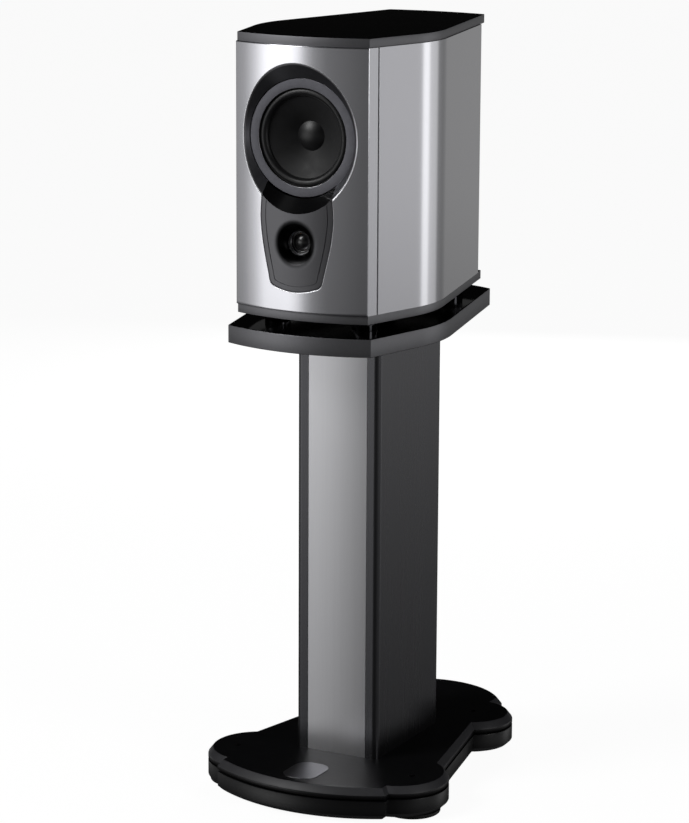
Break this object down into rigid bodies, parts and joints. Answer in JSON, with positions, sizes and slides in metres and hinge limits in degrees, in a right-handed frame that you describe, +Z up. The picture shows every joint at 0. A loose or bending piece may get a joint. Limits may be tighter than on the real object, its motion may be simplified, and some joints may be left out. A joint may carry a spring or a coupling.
{
  "type": "stand-mounted bookshelf speaker",
  "caption": "Bookshelf loudspeaker with a bowed silver baffle, shield-shaped tweeter plate below the woofer, curved sides, and a matching bolted column stand on a lobed base.",
  "frame": {"origin": "on the floor, at the centre of the whole object's footprint", "axes": "+Z up; -Y the way the baffle faces; +X the speaker's right as seen from the front"},
  "size_m": [0.414, 0.6058, 1.214],
  "materials": {
    "silver_lacquer": "fibreboard with metallic silver lacquer, polished",
    "bare_board": "raw fibreboard, sanded",
    "rear_lacquer": "satin black lacquer on fibreboard",
    "black_lacquer": "fibreboard, gloss black faces and satin dark grey edges",
    "base_lacquer": "aluminium plate in gloss black lacquer with satin bevels",
    "black_anodised": "extruded tube, black anodised, fine draw lines",
    "silver_anodised": "sheet, silver anodised, finely brushed along its length",
    "badge_aluminium": "brushed aluminium plate",
    "dark_chrome": "smoked chrome plating",
    "zinc_steel": "zinc plated",
    "black_steel": "blackened steel",
    "foot_black": "satin black powder coat",
    "cast_alloy": "die cast, grey enamel",
    "trim_speckle": "fine speckled satin coating",
    "motor_steel": "turned low carbon steel",
    "ferrite": "sintered ferrite",
    "cone_paper": "coated paper cone",
    "coil_copper": "enamelled copper winding",
    "surround_rubber": "moulded butyl rubber",
    "gasket_foam": "closed cell foam",
    "spider_cloth": "resin treated woven cloth, corrugated",
    "graphite_plate": "machined alloy, bead blasted graphite anodising",
    "bright_ring": "polished",
    "dome_silk": "coated silk, pressed",
    "cup_plastic": "moulded",
    "port_plastic": "moulded, fine grain",
    "terminal_aluminium": "brushed and anodised",
    "gold_brass": "gold plated brass",
    "post_red": "translucent red knob, ribbed",
    "post_black": "black knob, ribbed",
    "circuit_board": "glass fibre board with solder mask",
    "capacitor_film": "wrapped film capacitor",
    "wire_insulation": "soft insulation",
    "felt": "wool felt"
  },
  "bodies": {
    "speaker_and_stand": {"front_baffle": "silver_lacquer", "right_side_panel": "silver_lacquer", "left_side_panel": "silver_lacquer", "cabinet_floor": "bare_board", "cabinet_roof": "bare_board", "rear_panel": "rear_lacquer", "cabinet_brace": "bare_board", "bottom_cover_plate": "black_lacquer", "top_cover_plate": "black_lacquer", "damping_lining": "felt", "speaker_feet": "dark_chrome", "speaker_bolts": "zinc_steel", "woofer_basket": "cast_alloy", "woofer_gasket": "gasket_foam", "woofer_trim_ring": "trim_speckle", "woofer_front_plate": "motor_steel", "woofer_magnet": "ferrite", "woofer_back_plate": "motor_steel", "woofer_surround": "surround_rubber", "woofer_spider": "spider_cloth", "tweeter_waveguide": "graphite_plate", "tweeter_front_plate": "motor_steel", "tweeter_magnet": "ferrite", "tweeter_back_plate": "motor_steel", "tweeter_rear_cup": "cup_plastic", "tweeter_clamp_ring": "bright_ring", "tweeter_surround": "dome_silk", "cabinet_screws": "black_steel", "port_tube": "port_plastic", "port_trim_ring": "port_plastic", "terminal_plate": "terminal_aluminium", "binding_post_stems": "gold_brass", "crossover_board": "circuit_board", "crossover_coils": "coil_copper", "crossover_capacitors": "capacitor_film", "internal_wires": "wire_insulation", "base_upper_plate": "base_lacquer", "base_lower_plate": "base_lacquer", "stand_column": "black_anodised", "column_front_panel": "silver_anodised", "column_tie_rods": "zinc_steel", "stand_top_plate": "black_lacquer", "base_badge": "badge_aluminium"},
    "woofer_moving_unit": {"woofer_cone": "cone_paper", "woofer_dust_cap": "cone_paper", "woofer_voice_coil": "coil_copper"},
    "tweeter_moving_unit": {"tweeter_dome": "dome_silk", "tweeter_voice_coil": "coil_copper"},
    "red_washer": {"red_post_washer": "gold_brass"},
    "red_knob": {"red_post_knob": "post_red"},
    "black_washer": {"black_post_washer": "gold_brass"},
    "black_knob": {"black_post_knob": "post_black"},
    "front_right_disc": {"front_right_foot_disc": "foot_black"},
    "front_right_stud": {"front_right_foot_stud": "black_steel"},
    "front_left_disc": {"front_left_foot_disc": "foot_black"},
    "front_left_stud": {"front_left_foot_stud": "black_steel"},
    "rear_right_disc": {"rear_right_foot_disc": "foot_black"},
    "rear_right_stud": {"rear_right_foot_stud": "black_steel"},
    "rear_left_disc": {"rear_left_foot_disc": "foot_black"},
    "rear_left_stud": {"rear_left_foot_stud": "black_steel"}
  },
  "joints": [
    {"name": "woofer_travel", "type": "slide", "parent": "speaker_and_stand", "child": "woofer_moving_unit", "axis": [0, -1, 0], "range_m": [-0.006, 0.006], "stiffness_N_per_m": 1000, "deforming": ["woofer_surround", "woofer_spider"]},
    {"name": "tweeter_travel", "type": "slide", "parent": "speaker_and_stand", "child": "tweeter_moving_unit", "axis": [0, -1, 0], "range_m": [-0.0004, 0.0004], "stiffness_N_per_m": 200, "deforming": ["tweeter_surround"]},
    {"name": "red_post_lift", "type": "slide", "parent": "speaker_and_stand", "child": "red_washer", "axis": [0, 1, 0], "range_m": [0, 0.0035]},
    {"name": "red_knob_turn", "type": "hinge", "parent": "red_washer", "child": "red_knob", "pos_m": [0.019, 0.18, 0.896], "axis": [0, 1, 0], "range_deg": [0, 1800]},
    {"name": "black_post_lift", "type": "slide", "parent": "speaker_and_stand", "child": "black_washer", "axis": [0, 1, 0], "range_m": [0, 0.0035]},
    {"name": "black_knob_turn", "type": "hinge", "parent": "black_washer", "child": "black_knob", "pos_m": [-0.019, 0.18, 0.896], "axis": [0, 1, 0], "range_deg": [0, 1800]},
    {"name": "front_right_foot_height", "type": "slide", "parent": "speaker_and_stand", "child": "front_right_disc", "axis": [0, 0, -1], "range_m": [0, 0.006]},
    {"name": "front_right_stud_turn", "type": "hinge", "parent": "front_right_disc", "child": "front_right_stud", "pos_m": [0.157, -0.182, 0.03], "axis": [0, 0, -1], "range_deg": [0, 1440]},
    {"name": "front_left_foot_height", "type": "slide", "parent": "speaker_and_stand", "child": "front_left_disc", "axis": [0, 0, -1], "range_m": [0, 0.006]},
    {"name": "front_left_stud_turn", "type": "hinge", "parent": "front_left_disc", "child": "front_left_stud", "pos_m": [-0.157, -0.182, 0.03], "axis": [0, 0, -1], "range_deg": [0, 1440]},
    {"name": "rear_right_foot_height", "type": "slide", "parent": "speaker_and_stand", "child": "rear_right_disc", "axis": [0, 0, -1], "range_m": [0, 0.006]},
    {"name": "rear_right_stud_turn", "type": "hinge", "parent": "rear_right_disc", "child": "rear_right_stud", "pos_m": [0.098, 0.158, 0.03], "axis": [0, 0, -1], "range_deg": [0, 1440]},
    {"name": "rear_left_foot_height", "type": "slide", "parent": "speaker_and_stand", "child": "rear_left_disc", "axis": [0, 0, -1], "range_m": [0, 0.006]},
    {"name": "rear_left_stud_turn", "type": "hinge", "parent": "rear_left_disc", "child": "rear_left_stud", "pos_m": [-0.098, 0.158, 0.03], "axis": [0, 0, -1], "range_deg": [0, 1440]}
  ],
  "couplings": [
    {"joint": "red_post_lift", "follows": "red_knob_turn", "m_per_rad": 0.00011141},
    {"joint": "black_post_lift", "follows": "black_knob_turn", "m_per_rad": 0.00011141},
    {"joint": "front_right_stud_turn", "follows": "front_right_foot_height", "rad_per_m": 4188.8},
    {"joint": "front_left_stud_turn", "follows": "front_left_foot_height", "rad_per_m": 4188.8},
    {"joint": "rear_right_stud_turn", "follows": "rear_right_foot_height", "rad_per_m": 4188.8},
    {"joint": "rear_left_stud_turn", "follows": "rear_left_foot_height", "rad_per_m": 4188.8}
  ]
}
